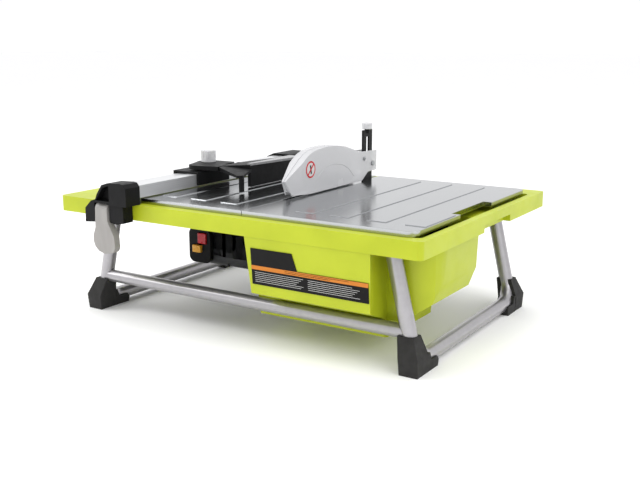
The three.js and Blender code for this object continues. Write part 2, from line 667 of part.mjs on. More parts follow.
// ---------------------------------------------------------------- rip fence
function fenceBar() {
  const end = reach - 37;
  const front = reach - 29;
  const outer = alongY([[fence.left, fenceBottom], [fenceRight, fenceBottom], [fenceRight, fenceTop],
    [fenceRight - 18, fenceTop], [fenceRight - 20, fenceTop - 1], [fence.left + 3, fenceTop - 1],
    [fence.left, fenceTop - 4]], -front, end);
  const inner = box(fence.left + fence.wall, fenceRight - fence.wall, -front - 1, end + 1,
    fenceBottom + fence.wall, fenceTop - 1 - fence.wall);
  return cut(outer, inner);
}
addPart('fence_bar', fenceBar(), aluminium);

const lever = { x0: -226, x1: -199, pivotY: -halfDepth - 16, pivotZ: 190, pin: 3, arm: 9 };
const capLeft = fence.left - 16;
const capRight = fenceRight + 6;
const capBottom = tray.rimTop + 0.7;

// The bar's room in a cap that reaches from y0 to y1.
const barPocket = (y0, y1) => box(fence.left - GAP, fenceRight + GAP, y0, y1, fenceBottom - GAP,
  fenceTop + GAP);

// Keeps the caps clear of the plates as the fence slides.
const plateRoom = (y0, y1) => box(capLeft - 1, capRight + 1, y0, y1, rimBottom, fenceBottom - GAP);

// Front clamp head: a hood over the rim, a jaw in front of the tray and a side tab.
function fenceHead() {
  const jawBack = -halfDepth - GAP - 1;
  const jawBottom = 168;
  const jawRight = -167;
  const tabLeft = -250;
  const blockLeft = -190;
  const roomLeft = lever.x0 - 2.5;
  const roomRight = lever.x1 + 3;
  const roof = lever.pivotZ + lever.arm + 1.5;
  const hoodOutline = [[capLeft, capBottom], [capRight, capBottom], [capRight, fence.capTop - 7],
    [capRight - 5, fence.capTop - 1], [capRight - 12, fence.capTop], [-192, fence.capTop - 1],
    [-205, fence.capTop - 5], [-216, 214]];
  const shade = alongY([[blockLeft, 204], [blockLeft, fence.capTop - 5],
    [-203, fence.capTop - 9], [-213, 212], [-219, 204]], -reach - 1, -reach + 12);
  const hood = alongY(hoodOutline, -reach, -hoodInner);
  const face = alongY([
    [tabLeft, jawBottom - 2], [roomLeft, jawBottom], [roomLeft, roof], [roomRight, roof],
    [roomRight, jawBottom + 2], [-183, jawBottom], [jawRight, jawBottom + 3], [jawRight, 202],
    [capRight, 202], ...hoodOutline.slice(2), [-227, 204], [-236, 201], [tabLeft + 1, 189],
  ], -reach + 6, jawBack);
  const pinHole = rod(lever.pin + GAP, [tabLeft - 5, lever.pivotY, lever.pivotZ], [-190, lever.pivotY,
    lever.pivotZ]);
  const armRoom = box(roomLeft, roomRight, -reach - 1, jawBack - 1, jawBottom - 3, roof);
  return cut(join(hood, face), barPocket(-reach + 28, -hoodInner + 1), pinHole, armRoom, shade);
}
addPart('fence_head', fenceHead(), blackPlastic);
addPart('lever_pin', rod(lever.pin, [-243, lever.pivotY, lever.pivotZ], [-192, lever.pivotY,
  lever.pivotZ]), steel);

// Cam lever: a narrow arm from the pin, widening to a paddle.
function camLever() {
  const paddle = new THREE.Shape();
  paddle.moveTo(lever.x0 + 2, 200);
  paddle.lineTo(lever.x0, 160);
  paddle.bezierCurveTo(-237, 140, -232, 121, -208, 119);
  paddle.lineTo(-192, 122);
  paddle.quadraticCurveTo(-186, 124, -185, 132);
  paddle.lineTo(-186, 148);
  paddle.lineTo(lever.x1, 172);
  paddle.lineTo(lever.x1, 200);
  const front = lever.pivotY - lever.arm;
  const blank = alongY(paddle, front, lever.pivotY + lever.arm, 5);
  const eye = rod(lever.arm, [lever.x0, lever.pivotY, lever.pivotZ], [lever.x1, lever.pivotY,
    lever.pivotZ], 24);
  const hanging = box(-270, -170, front, lever.pivotY + lever.pin, 100, lever.pivotZ);
  const room = rod(lever.pin + GAP, [-270, lever.pivotY, lever.pivotZ], [-180, lever.pivotY, lever.pivotZ]);
  return cut(blank.intersect(join(eye, hanging)), room);
}
addPart('fence_lever', camLever(), greyPlastic);

// Rear hook: a cap over the back rim with a jaw behind it.
function fenceHook() {
  const top = fence.capTop - 3;
  const cap = alongY([[capLeft, capBottom], [capRight, capBottom], [capRight, top - 7], [capRight - 10,
    top],
    [capLeft + 19, top], [capLeft + 3, top - 7]], hookInner, reach);
  const jaw = box(fence.left, capRight - 6, halfDepth + GAP + 1, reach, 168, 205);
  return cut(join(cap, jaw), barPocket(hookInner - 1, reach - 36), plateRoom(hookInner - 1,
    tableBack + 1));
}
addPart('fence_hook', fenceHook(), blackPlastic);

// ---------------------------------------------------------------- angle guide
const saddleFront = gauge.pivotY - 62;
const saddleBack = gauge.pivotY + 22;
function guideSaddle() {
  const grip = GAP + gauge.saddle;
  const shell = box(fence.left - grip, fenceRight + grip, saddleFront, saddleBack, fenceBottom + 1.5,
    saddleTop);
  const slide = box(fence.left - GAP, fenceRight + GAP, saddleFront - 1, saddleBack + 1,
    fenceBottom - 1, fenceTop + GAP);
  const stud = rod(4, [gauge.pivotX, gauge.pivotY, saddleTop - 1], [gauge.pivotX, gauge.pivotY,
    gauge.plateTop + 12]);
  return join(cut(shell, slide), stud);
}
addPart('guide_saddle', guideSaddle(), blackPlastic);

function angleGuide() {
  const { pivotX, pivotY, plateTop, plate, wallX, wallThickness, wallFront, wallBack, wallTop } = gauge;
  const { apronX, apronY } = gauge;
  const low = plateTop - plate;
  const outer = wallX + wallThickness;
  const nose = [pivotX + 10, pivotY - 38];
  const hubDisc = rod(gauge.hubRadius, [pivotX, pivotY, low], [pivotX, pivotY, plateTop], 24);
  const noseDisc = rod(17, [...nose, low], [...nose, plateTop], 20);
  const neck = hull([
    [nose[0] - 17, nose[1], low], [nose[0] - 17, nose[1], plateTop], [pivotX - 20, pivotY, low],
    [pivotX - 20, pivotY, plateTop], [-128, pivotY - 44, low], [-128, pivotY - 44, plateTop],
    [-128, pivotY + 24, low], [-128, pivotY + 24, plateTop], [pivotX, pivotY + 20, low], [pivotX,
      pivotY + 20, plateTop],
    [nose[0], nose[1] - 17, low], [nose[0], nose[1] - 17, plateTop],
  ]);
  const web = hull([
    [-132, pivotY - 30, low], [-132, pivotY + 24, low], [-132, pivotY - 30, plateTop], [-132,
      pivotY + 24, plateTop],
    [outer, wallBack - 3, wallTop - 5], [outer, wallBack - 3, wallTop],
    [outer, wallFront, wallTop - 8], [outer, wallFront, wallTop - 3],
  ]);
  const flange = hull([
    [wallX, wallFront, wallTop - 4], [wallX, wallBack, wallTop - 4], [outer + 20, wallBack, wallTop - 4],
    [outer + 1, wallFront, wallTop - 4], [wallX, wallFront, wallTop - 0.5], [wallX, wallBack, wallTop],
    [outer + 20, wallBack, wallTop], [outer + 1, wallFront, wallTop - 0.5],
  ]);
  const apron = hull([
    [-138, pivotY - 36, low], [-138, pivotY - 36, plateTop], [-134, pivotY, low], [-134, pivotY, plateTop],
    [apronX - 6, apronY - 4, 231], [apronX - 6, apronY - 4, 235], [apronX, apronY + 4, 231], [apronX,
      apronY + 4, 235],
    [outer, wallFront + 6, 234], [outer, wallFront + 6, 239],
  ]);
  const leg = box(apronX - 5, apronX - 1, apronY - 1, apronY + 8, table.top + 2, 233);
  const wall = alongX([[wallFront, table.top + 2], [wallBack, table.top + 2], [wallBack, wallTop],
    [wallFront, wallTop - 1]], wallX, outer);
  const slotOuter = 0.95;
  const arcSlot = new THREE.Shape();
  arcSlot.absarc(pivotX, pivotY, 52, -0.25, slotOuter);
  arcSlot.absarc(pivotX, pivotY, 45, slotOuter, -0.25, true);
  const slot = upright(arcSlot, low - 4, wallTop + 5, 6);
  const studHole = rod(4 + GAP, [pivotX, pivotY, low - 1], [pivotX, pivotY, plateTop + 1]);
  return cut(join(hubDisc, noseDisc, neck, web, flange, apron, leg, wall), slot, studHole);
}
addPart('angle_guide', angleGuide(), blackPlastic);

function flutedKnob() {
  const { pivotX, pivotY } = gauge;
  const bottom = gauge.plateTop + GAP;
  const top = bottom + gaugeKnob.height;
  const flutes = Array.from({ length: 8 }, (_, i) => {
    const angle = (2 * Math.PI * i) / 8;
    const x = pivotX + Math.cos(angle) * (gaugeKnob.radius + 1.2);
    const y = pivotY + Math.sin(angle) * (gaugeKnob.radius + 1.2);
    return rod(2.6, [x, y, bottom + 5], [x, y, top + 1], 10);
  });
  const bore = rod(4 + GAP, [pivotX, pivotY, bottom - 1], [pivotX, pivotY, gauge.plateTop + 12 + GAP]);
  return cut(rod(gaugeKnob.radius, [pivotX, pivotY, bottom], [pivotX, pivotY, top], 32), bore, ...flutes);
}
addPart('guide_knob', flutedKnob(), milkyPlastic);

export default saw;
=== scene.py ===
"""A wet tile saw on a bent-tube frame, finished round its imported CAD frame."""

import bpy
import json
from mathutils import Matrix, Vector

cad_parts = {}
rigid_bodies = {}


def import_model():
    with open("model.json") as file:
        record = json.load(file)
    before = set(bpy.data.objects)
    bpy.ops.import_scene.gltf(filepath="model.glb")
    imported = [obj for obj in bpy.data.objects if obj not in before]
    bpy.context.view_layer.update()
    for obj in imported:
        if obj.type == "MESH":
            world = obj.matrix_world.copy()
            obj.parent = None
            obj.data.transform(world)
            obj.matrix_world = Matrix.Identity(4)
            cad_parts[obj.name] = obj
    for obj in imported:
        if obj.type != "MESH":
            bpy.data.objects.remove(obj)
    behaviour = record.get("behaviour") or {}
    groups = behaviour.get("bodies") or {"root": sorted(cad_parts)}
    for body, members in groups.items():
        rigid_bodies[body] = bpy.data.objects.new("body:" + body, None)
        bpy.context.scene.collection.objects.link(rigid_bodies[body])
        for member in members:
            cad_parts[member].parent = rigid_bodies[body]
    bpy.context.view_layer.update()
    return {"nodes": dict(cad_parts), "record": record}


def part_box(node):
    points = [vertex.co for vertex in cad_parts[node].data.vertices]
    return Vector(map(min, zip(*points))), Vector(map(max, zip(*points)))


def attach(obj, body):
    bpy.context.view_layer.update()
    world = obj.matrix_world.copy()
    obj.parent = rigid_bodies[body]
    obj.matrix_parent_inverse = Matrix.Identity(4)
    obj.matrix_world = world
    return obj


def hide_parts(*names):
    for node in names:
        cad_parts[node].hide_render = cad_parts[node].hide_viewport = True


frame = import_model()

import json
import math

import bpy
from bpy.props import FloatProperty, FloatVectorProperty, PointerProperty
from mathutils import Vector

bl_info = {
    "name": "Wet Tile Saw",
    "version": (1, 0, 0),
    "blender": (4, 5, 0),
    "location": "View3D > Sidebar > Tile Saw",
    "description": "Finishes a wet tile saw: tray, table, guard, fence, guide, motor and frame",
    "category": "Add Mesh",
}

MM = 0.001
WELD = 0.01 * MM  # closer points are one
FLAT = math.radians(1.0)  # faces turned less than this are one face
CREASE = math.radians(32.0)  # sharper edges than this stay visible
ROUNDED = math.radians(35.0)  # sharper edges than this are rounded
TUBE_CREASE = math.radians(50.0)  # the same as CREASE, for the tubes
FILM_THICKNESS = 0.2 * MM  # of the label's printed strips
RIGHT = (1, 0, 0)  # the way the guard's right cheek faces


# ---------------------------------------------------------------- the frame's facts
BODY_OF = {
    node: body
    for body, nodes in frame["record"]["behaviour"]["bodies"].items()
    for node in nodes
}


# ---------------------------------------------------------------- material helpers
def hex_color(text):
    """An sRGB hex colour such as #c6d233 as linear RGBA."""
    channels = [int(text[i : i + 2], 16) / 255 for i in (1, 3, 5)]
    linear = [c / 12.92 if c <= 0.04045 else ((c + 0.055) / 1.055) ** 2.4 for c in channels]
    return (*linear, 1.0)


def add_node(tree, kind, settings=None, values=None, links=None):
    """Adds a node, sets its options and socket values, and links outputs into its inputs."""
    node = tree.nodes.new(kind)
    for name, value in (settings or {}).items():
        setattr(node, name, value)
    for name, value in (values or {}).items():
        node.inputs[name].default_value = value
    for name, output in (links or {}).items():
        tree.links.new(output, node.inputs[name])
    return node


def new_material(name, values):
    """A material with one Principled shader, which is returned with its tree."""
    material = bpy.data.materials.new(name)
    material.use_nodes = True
    tree = material.node_tree
    shader = tree.nodes["Principled BSDF"]
    for socket, value in values.items():
        shader.inputs[socket].default_value = value
    return material, tree, shader


def pattern_place(tree, scale=(1.0, 1.0, 1.0)):
    """Object coordinates, stretched by scale."""
    place = add_node(tree, "ShaderNodeTexCoord")
    mapping = add_node(
        tree, "ShaderNodeMapping", values={"Scale": scale}, links={"Vector": place.outputs["Object"]}
    )
    return mapping.outputs["Vector"]


def add_grain(tree, shader, size_mm, strength, depth_mm=0.1, scale=(1.0, 1.0, 1.0), detail=3.0):
    """Bumps the surface with noise whose lumps are size_mm wide."""
    noise = add_node(
        tree,
        "ShaderNodeTexNoise",
        values={"Scale": 1.0 / (size_mm * MM), "Detail": detail},
        links={"Vector": pattern_place(tree, scale)},
    )
    bump = add_node(
        tree,
        "ShaderNodeBump",
        values={"Strength": strength, "Distance": depth_mm * MM},
        links={"Height": noise.outputs["Fac"]},
    )
    tree.links.new(bump.outputs["Normal"], shader.inputs["Normal"])


def mottle_color(tree, shader, low, high, size_mm, scale=(1.0, 1.0, 1.0)):
    """Drifts the base colour between two close tones over size_mm."""
    noise = add_node(
        tree,
        "ShaderNodeTexNoise",
        values={"Scale": 1.0 / (size_mm * MM), "Detail": 4.0},
        links={"Vector": pattern_place(tree, scale)},
    )
    ramp = add_node(tree, "ShaderNodeValToRGB", links={"Fac": noise.outputs["Fac"]})
    ramp.color_ramp.elements[0].position = 0.35
    ramp.color_ramp.elements[1].position = 0.65
    ramp.color_ramp.elements[0].color = hex_color(low)
    ramp.color_ramp.elements[1].color = hex_color(high)
    tree.links.new(ramp.outputs["Color"], shader.inputs["Base Color"])


def vary_roughness(tree, shader, low, high, size_mm, scale=(1.0, 1.0, 1.0)):
    """Drifts the roughness between low and high over size_mm."""
    noise = add_node(
        tree,
        "ShaderNodeTexNoise",
        values={"Scale": 1.0 / (size_mm * MM), "Detail": 5.0},
        links={"Vector": pattern_place(tree, scale)},
    )
    spread = add_node(
        tree,
        "ShaderNodeMapRange",
        values={"From Min": 0.3, "From Max": 0.7, "To Min": low, "To Max": high},
        links={"Value": noise.outputs["Fac"]},
    )
    tree.links.new(spread.outputs["Result"], shader.inputs["Roughness"])


# ---------------------------------------------------------------- materials
def lime_polypropylene():
    """Injection-moulded PP: a waxy satin skin with a fine spark-eroded grain."""
    material, tree, shader = new_material(
        "Lime moulded polypropylene",
        {"IOR": 1.49, "Subsurface Weight": 0.03, "Subsurface Scale": 2 * MM, "Specular IOR Level": 0.36},
    )
    mottle_color(tree, shader, "#a8b31a", "#b0bb20", 60)
    vary_roughness(tree, shader, 0.34, 0.44, 25)
    add_grain(tree, shader, 0.8, 0.12, 0.05)  # real grain is 0.2 mm, drawn coarser so that it shows
    return material


def brushed_stainless():
    """Cold-rolled stainless sheet, brushed front to back: long faint streaks, soft reflections."""
    material, tree, shader = new_material(
        "Brushed stainless sheet", {"Metallic": 1.0, "Anisotropic": 0.3}
    )
    streaks = (1.0, 0.03, 1.0)  # streaks are about thirty times longer than wide
    mottle_color(tree, shader, "#abadaf", "#b3b5b7", 1.0, streaks)
    vary_roughness(tree, shader, 0.15, 0.19, 1.0, streaks)
    add_grain(tree, shader, 1.0, 0.03, 0.01, streaks)
    return material


def silver_enamel():
    """Stoved silver enamel on steel tube: fine metallic flake under a satin film."""
    material, tree, shader = new_material(
        "Silver stoved enamel", {"Metallic": 0.75, "Coat Weight": 0.25, "Coat Roughness": 0.25}
    )
    mottle_color(tree, shader, "#a5a3a6", "#aaa8ab", 8.0)
    vary_roughness(tree, shader, 0.3, 0.34, 20)
    add_grain(tree, shader, 2.0, 0.02, 0.005)
    return material


def black_rubber():
    """Moulded nitrile rubber: dull, slightly dusty, with a soft pebble."""
    material, tree, shader = new_material(
        "Black nitrile rubber", {"IOR": 1.52, "Specular IOR Level": 0.35}
    )
    mottle_color(tree, shader, "#1d1c1b", "#242322", 18)
    vary_roughness(tree, shader, 0.62, 0.78, 10)
    add_grain(tree, shader, 1.2, 0.25, 0.12)
    return material


def black_abs():
    """Textured ABS moulding: a leathery spark finish that scatters highlights."""
    material, tree, shader = new_material(
        "Black textured ABS", {"IOR": 1.54, "Specular IOR Level": 0.12}
    )
    mottle_color(tree, shader, "#0f0f10", "#141415", 22)
    vary_roughness(tree, shader, 0.4, 0.52, 8)
    add_grain(tree, shader, 0.9, 0.2, 0.08)
    return material


def grey_nylon():
    """Warm grey glass-filled nylon: satin with faint flow lines."""
    material, tree, shader = new_material("Warm grey nylon", {"IOR": 1.53})
    mottle_color(tree, shader, "#8a8784", "#95928f", 20, (1.0, 1.0, 0.3))
    vary_roughness(tree, shader, 0.38, 0.5, 14)
    add_grain(tree, shader, 0.8, 0.12, 0.06)
    return material


def charcoal_nylon():
    """Charcoal glass-filled nylon motor cover: matt and even."""
    material, tree, shader = new_material("Charcoal glass-filled nylon", {"IOR": 1.53})
    mottle_color(tree, shader, "#28292b", "#303133", 20)
    vary_roughness(tree, shader, 0.46, 0.6, 10)
    add_grain(tree, shader, 0.9, 0.2, 0.08)
    return material


def extruded_aluminium():
    """Clear anodised extrusion: die lines run the length of the bar."""
    material, tree, shader = new_material("Anodised aluminium extrusion", {"Metallic": 0.85})
    lines = (1.0, 0.008, 1.0)  # die lines run front to back
    mottle_color(tree, shader, "#dcddde", "#e6e7e8", 0.9, lines)
    vary_roughness(tree, shader, 0.3, 0.42, 0.9, lines)
    add_grain(tree, shader, 0.9, 0.08, 0.03, lines)
    return material


def machined_steel():
    """Turned and zinc-plated steel: bright with fine tool marks."""
    material, tree, shader = new_material("Zinc-plated machined steel", {"Metallic": 1.0})
    mottle_color(tree, shader, "#8f9193", "#a6a8aa", 5)
    vary_roughness(tree, shader, 0.25, 0.4, 3)
    add_grain(tree, shader, 0.7, 0.08, 0.04)
    return material


def copper_winding():
    """Varnished copper winding: dark amber lacquer over fine wire."""
    material, tree, shader = new_material(
        "Varnished copper winding", {"Metallic": 0.9, "Coat Weight": 0.5}
    )
    mottle_color(tree, shader, "#7a3f1f", "#a05a30", 3)
    vary_roughness(tree, shader, 0.3, 0.45, 3)
    add_grain(tree, shader, 0.8, 0.4, 0.2, (0.1, 1.0, 1.0))
    return material


def gloss_abs(name, low, high):
    """Gloss ABS from a polished mould: clean highlights and a faint orange peel."""
    material, tree, shader = new_material(name, {"IOR": 1.54, "Coat Weight": 0.2})
    mottle_color(tree, shader, low, high, 14)
    vary_roughness(tree, shader, 0.24, 0.34, 8)
    add_grain(tree, shader, 1.5, 0.06, 0.04)
    return material


def milky_polycarbonate():
    """Frosted polycarbonate: pale grey, a little see-through, with a soft sheen."""
    material, tree, shader = new_material(
        "Milky polycarbonate",
        {"IOR": 1.58, "Alpha": 0.74, "Coat Weight": 0.3, "Coat Roughness": 0.1},
    )
    mottle_color(tree, shader, "#cbcbcd", "#d1d1d3", 60)
    vary_roughness(tree, shader, 0.2, 0.28, 30)
    add_grain(tree, shader, 1.5, 0.03, 0.02)
    return material


def printed_film(name, low, high):
    """Printed vinyl film: an even ink layer under a satin laminate."""
    material, tree, shader = new_material(name, {"IOR": 1.5, "Specular IOR Level": 0.15})
    mottle_color(tree, shader, low, high, 30)
    vary_roughness(tree, shader, 0.35, 0.45, 10)
    add_grain(tree, shader, 1.0, 0.04, 0.02)
    return material


def pale_sweep():
    """Matt painted studio sweep: near white and even."""
    material, tree, shader = new_material("Matt white studio sweep", {"IOR": 1.45})
    mottle_color(tree, shader, "#fdfdfd", "#fefefe", 400)
    vary_roughness(tree, shader, 0.8, 0.9, 200)
    add_grain(tree, shader, 3.0, 0.03, 0.05)
    return material


MAKERS = {
    "lime": lime_polypropylene,
    "stainless": brushed_stainless,
    "enamel": silver_enamel,
    "rubber": black_rubber,
    "black": black_abs,
    "grey": grey_nylon,
    "charcoal": charcoal_nylon,
    "aluminium": extruded_aluminium,
    "steel": machined_steel,
    "copper": copper_winding,
    "red": lambda: gloss_abs("Red gloss ABS", "#b91822", "#c8202b"),
    "yellow": lambda: gloss_abs("Yellow gloss ABS", "#e8a733", "#f0b040"),
    "clear": milky_polycarbonate,
    "film_black": lambda: printed_film("Black printed film", "#0b0a0a", "#0f0e0e"),
    "film_orange": lambda: printed_film("Orange printed film", "#c0742c", "#c87c33"),
    "film_white": lambda: printed_film("White printed film", "#c4c4c2", "#cacac8"),
    "film_red": lambda: printed_film("Red printed film", "#b81b28", "#c2202c"),
    # The black guide's top painted light grey: a painted highlight where light falls on it.
    "painted_highlight_grey": lambda: gloss_abs("Painted highlight grey ABS", "#7d7d7e", "#878788"),
    "sweep": pale_sweep,
}
made_materials = {}


def finish(key):
    """The material with this key, made on first use."""
    if key not in made_materials:
        made_materials[key] = MAKERS[key]()
    return made_materials[key]


# ---------------------------------------------------------------- modelling helpers
def clear_selection():
    """Leaves nothing selected, in object mode."""
    if bpy.context.object and bpy.context.object.mode != "OBJECT":
        bpy.ops.object.mode_set(mode="OBJECT")
    bpy.ops.object.select_all(action="DESELECT")


def make_active(piece):
    """Selects one object alone."""
    clear_selection()
    piece.select_set(True)
    bpy.context.view_layer.objects.active = piece


def apply_modifier(piece, kind, **settings):
    """Adds a modifier with these settings and applies it."""
    make_active(piece)
    modifier = piece.modifiers.new(kind.title(), kind)
    for name, value in settings.items():
        setattr(modifier, name, value)
    bpy.ops.object.modifier_apply(modifier=modifier.name)


def place_in_mesh(piece):
    """Puts the object's place, turn and scale into its mesh."""
    make_active(piece)
    bpy.ops.object.transform_apply(location=True, rotation=True, scale=True)


def settle(piece, name, body, material, replaced=()):
    """Names a finished piece, gives it its material and joins it to its body."""
    piece.name = name
    piece.data.name = name
    piece.data.materials.clear()
    piece.data.materials.append(finish(material))
    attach(piece, body)
    if replaced:
        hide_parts(*replaced)
    return piece


def smooth_faces(piece, angle=CREASE):
    """Shades the faces smooth, with edges sharper than the angle left crisp."""
    make_active(piece)
    bpy.ops.object.shade_smooth_by_angle(angle=angle)


def open_copy(node):
    """A merged copy of a CAD node's mesh, free of its body, with its flat faces whole."""
    make_active(frame["nodes"][node])
    bpy.ops.object.duplicate()
    piece = bpy.context.object
    bpy.ops.object.parent_clear(type="CLEAR_KEEP_TRANSFORM")
    for key in [key for key in piece.keys() if key.startswith("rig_")]:
        del piece[key]
    bpy.ops.object.mode_set(mode="EDIT")
    bpy.ops.mesh.select_all(action="SELECT")
    bpy.ops.mesh.remove_doubles(threshold=WELD)
    bpy.ops.mesh.dissolve_limited(angle_limit=FLAT)
    bpy.ops.object.mode_set(mode="OBJECT")
    return piece


def round_edges(piece, width_mm, segments=3, angle=ROUNDED):
    """Rounds every edge sharper than the angle."""
    apply_modifier(
        piece,
        "BEVEL",
        width=width_mm * MM,
        segments=segments,
        limit_method="ANGLE",
        angle_limit=angle,
        use_clamp_overlap=True,
        miter_outer="MITER_ARC",
    )
    smooth_faces(piece)
    apply_modifier(piece, "WEIGHTED_NORMAL", keep_sharp=True)


def finished_copy(node, material, edge_mm, segments=3):
    """The CAD node's shape with rounded edges, standing for the node."""
    piece = open_copy(node)
    if edge_mm:
        round_edges(piece, edge_mm, segments)
    else:
        smooth_faces(piece)
    return settle(piece, f"{node}_finished", BODY_OF[node], material, [node])


def repaint(node, material):
    """Keeps the CAD node's mesh and gives it a finish."""
    piece = frame["nodes"][node]
    piece.data.materials.clear()
    piece.data.materials.append(finish(material))
    return piece


def smooth_tube(node, material):
    """A bent tube with its rounds shaded smooth, standing for the node."""
    piece = open_copy(node)
    bpy.ops.object.mode_set(mode="EDIT")
    bpy.ops.mesh.select_all(action="SELECT")
    bpy.ops.mesh.tris_convert_to_quads()
    bpy.ops.object.mode_set(mode="OBJECT")
    smooth_faces(piece, TUBE_CREASE)
    return settle(piece, f"{node}_finished", BODY_OF[node], material, [node])


def select_faces(piece, test):
    """In edit mode, selects the faces whose centre and normal pass the test."""
    bpy.ops.mesh.select_all(action="DESELECT")
    bpy.ops.object.mode_set(mode="OBJECT")
    for face in piece.data.polygons:
        face.select = bool(test(face.center, face.normal))
    bpy.ops.object.mode_set(mode="EDIT")


def disc(centre, radius, depth, axis, vertices=40):
    """A short cylinder along axis, centred on a point."""
    clear_selection()
    turn = Vector((0, 0, 1)).rotation_difference(Vector(axis)).to_euler()
    bpy.ops.mesh.primitive_cylinder_add(
        vertices=vertices, radius=radius, depth=depth, location=centre, rotation=turn
    )
    piece = bpy.context.object
    place_in_mesh(piece)
    return piece


def screw_head(name, centre, radius_mm, axis, body, material="steel"):
    """A domed screw head with a round recess, seated on the surface at its centre."""
    height = radius_mm * 0.55 * MM
    axis = Vector(axis)
    piece = disc(Vector(centre) + axis * height / 2, radius_mm * MM, height, axis, 28)
    make_active(piece)
    bpy.ops.object.mode_set(mode="EDIT")
    select_faces(piece, lambda spot, normal: normal.dot(axis) > 0.9)
    bpy.ops.mesh.inset(thickness=radius_mm * 0.3 * MM)
    bpy.ops.transform.translate(value=axis * height * 0.35)
    bpy.ops.mesh.inset(thickness=radius_mm * 0.28 * MM)
    bpy.ops.transform.translate(value=axis * height * 0.08)
    bpy.ops.mesh.inset(thickness=radius_mm * 0.1 * MM)
    bpy.ops.transform.translate(value=-axis * height * 0.5)
    bpy.ops.object.mode_set(mode="OBJECT")
    smooth_faces(piece)
    return settle(piece, name, body, material)


# ---------------------------------------------------------------- sizes and colours
class SawSizes(bpy.types.PropertyGroup):
    """Sizes that a user may change."""

    moulding_edge: FloatProperty(
        name="Moulding edge", description="Edge radius of the tray, in mm", default=2.0, min=0.1
    )
    sheet_edge: FloatProperty(
        name="Sheet edge", description="Edge radius of the steel plates, in mm", default=0.75, min=0.1
    )
    casting_edge: FloatProperty(
        name="Fitting edge", description="Edge radius of the black fittings, in mm", default=1.4, min=0.1
    )
    small_edge: FloatProperty(
        name="Small edge", description="Edge radius of the small pieces, in mm", default=0.5, min=0.05
    )
    floor_width: FloatProperty(
        name="Floor width", description="Width of the floor", default=60.0, min=2.0, unit="LENGTH"
    )


class SawStage(bpy.types.PropertyGroup):
    """The stage's light and camera."""

    lens: FloatProperty(name="Lens", description="Focal length in mm", default=50.06, min=10.0)
    camera_place: FloatVectorProperty(
        name="Camera", description="Where the camera stands", default=(0.8087, -1.225, 0.4457), unit="LENGTH"
    )
    camera_turn: FloatVectorProperty(
        name="Turn",
        description="The camera's turn",
        default=(math.radians(77.4), 0.0, math.radians(32.5)),
        subtype="EULER",
    )
    sky: FloatProperty(name="Sky", description="Strength of the even light", default=1.03, min=0.0)


# ---------------------------------------------------------------- pieces
class SAW_OT_tray(bpy.types.Operator):
    """Builds the lime tray and tub with its plug"""

    bl_idname = "saw.tray"
    bl_label = "Tray and tub"

    def execute(self, context):
        sizes = context.scene.saw_sizes
        finished_copy("tray_tub", "lime", sizes.moulding_edge)
        finished_copy("drain_plug", "rubber", sizes.small_edge)
        return {"FINISHED"}


class SAW_OT_label(bpy.types.Operator):
    """Builds the plain label on the tub's front"""

    bl_idname = "saw.label"
    bl_label = "Tub label"

    def execute(self, context):
        low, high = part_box("label_plate")
        width, height = high.x - low.x, high.z - low.z
        plate_thickness = 0.8 * MM
        # The plate leans: its front moves back towards the bottom.
        lean = (high.y - low.y - plate_thickness) / height
        finished_copy("label_plate", "film_black", 0)

        def strip(name, x0, x1, z0, z1, material):
            """A printed strip on the leaning plate."""
            clear_selection()
            bpy.ops.mesh.primitive_cube_add(size=1, location=((x0 + x1) / 2, 0, (z0 + z1) / 2))
            piece = bpy.context.object
            piece.scale = (x1 - x0, FILM_THICKNESS, z1 - z0)
            place_in_mesh(piece)
            bpy.ops.object.mode_set(mode="EDIT")
            for z in (z0, z1):
                select_faces(piece, lambda spot, normal: abs(spot.z - z) < WELD)
                front = low.y + (high.z - z) * lean
                bpy.ops.transform.translate(value=(0, front - FILM_THICKNESS / 4, 0))
            bpy.ops.object.mode_set(mode="OBJECT")
            return settle(piece, name, "saw_base", material)

        stripe_top = low.z + height * 0.53
        strip("label_stripe", low.x, high.x, stripe_top - 6 * MM, stripe_top, "film_orange")
        for i in range(2):
            line_top = stripe_top - (1.4 + 2.2 * i) * MM
            line_end = high.x - 30 * MM * (i + 1)
            strip(
                f"label_stripe_line_{i}",
                low.x + 58 * MM,
                line_end,
                line_top - 0.8 * MM,
                line_top,
                "film_black",
            )
        # Six rows of plain bars in two columns, with ragged ends.
        for row in range(6):
            z = stripe_top - (9.5 + 2.8 * row) * MM
            for column, (start, end) in enumerate(((0.03, 0.46), (0.5, 0.93))):
                ragged = 0.06 * ((row * 5 + column * 3) % 4) / 3
                strip(
                    f"label_line_{row}_{column}",
                    low.x + width * start,
                    low.x + width * (end - ragged),
                    z - 0.5 * MM,
                    z,
                    "film_white",
                )
        return {"FINISHED"}


class SAW_OT_table(bpy.types.Operator):
    """Builds the two steel plates"""

    bl_idname = "saw.table"
    bl_label = "Table plates"

    def execute(self, context):
        for node in ("left_table", "right_table"):
            finished_copy(node, "stainless", context.scene.saw_sizes.sheet_edge, 2)
        return {"FINISHED"}


class SAW_OT_tube_frame(bpy.types.Operator):
    """Builds the bent tubes, their sockets and the rubber boots"""

    bl_idname = "saw.tube_frame"
    bl_label = "Tube frame and feet"

    def execute(self, context):
        sizes = context.scene.saw_sizes
        for node in ("frame_side_left", "frame_side_right", "cross_tube_front"):
            smooth_tube(node, "enamel")
        for end in ("front", "back"):
            for hand in ("left", "right"):
                finished_copy(f"foot_{end}_{hand}", "rubber", sizes.casting_edge)
                finished_copy(f"leg_socket_{end}_{hand}", "black", sizes.small_edge)
        return {"FINISHED"}


